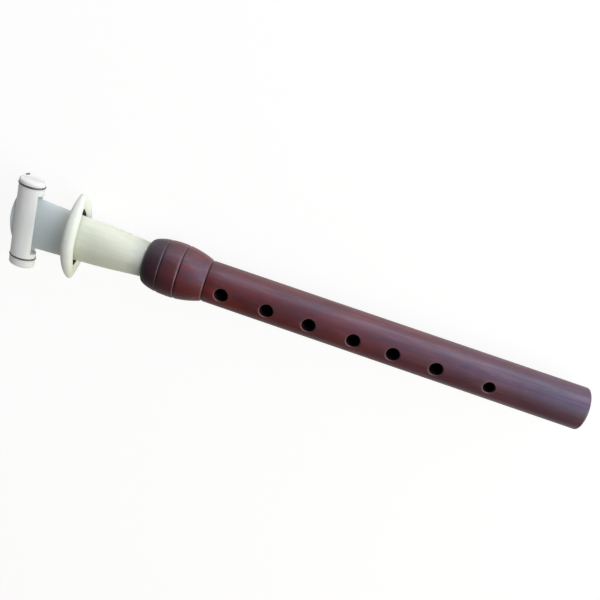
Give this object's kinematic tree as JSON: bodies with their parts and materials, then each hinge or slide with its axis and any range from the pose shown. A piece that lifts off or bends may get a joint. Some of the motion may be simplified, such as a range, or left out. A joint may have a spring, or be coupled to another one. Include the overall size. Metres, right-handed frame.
{
  "type": "duduk",
  "caption": "Short turned wooden pipe with a bulbous grooved head, finger holes and a wide flattened cane double reed with an oval bridle and a wire-tied cap of two bars",
  "frame": {"origin": "middle of the bottom of the box round the whole instrument as it lies with its finger holes up", "axes": "+X runs along the pipe from the reed's tip to the foot, +Z is the side of the finger holes, +Y completes the frame"},
  "size_m": [0.3676, 0.0602, 0.0342],
  "materials": {
    "stained_wood": "dark red-brown stained wood, satin oiled",
    "pale_cane": "smooth pale greenish ivory cane",
    "ivory_cane": "smooth ivory cane, softly polished",
    "cap_cane": "smooth ivory cane",
    "waxed_thread": "waxed linen thread, closely wound",
    "grey_wire": "dark grey annealed wire"
  },
  "bodies": {
    "pipe_body": {"pipe": "stained_wood"},
    "reed_body": {"reed": "pale_cane", "reed_thread": "waxed_thread"},
    "bridle_body": {"bridle": "ivory_cane"},
    "cap_body": {"cap_half_upper": "cap_cane", "cap_half_lower": "cap_cane", "cap_wire_left": "grey_wire", "cap_wire_right": "grey_wire"}
  },
  "joints": [
    {"name": "reed_pull", "type": "slide", "parent": "pipe_body", "child": "reed_body", "axis": [-1, 0, 0], "range_m": [0, 0.03]},
    {"name": "bridle_slide", "type": "slide", "parent": "reed_body", "child": "bridle_body", "axis": [-1, 0, 0], "range_m": [0, 0.015]},
    {"name": "cap_pull", "type": "slide", "parent": "reed_body", "child": "cap_body", "axis": [-1, 0, 0], "range_m": [0, 0.026]}
  ]
}
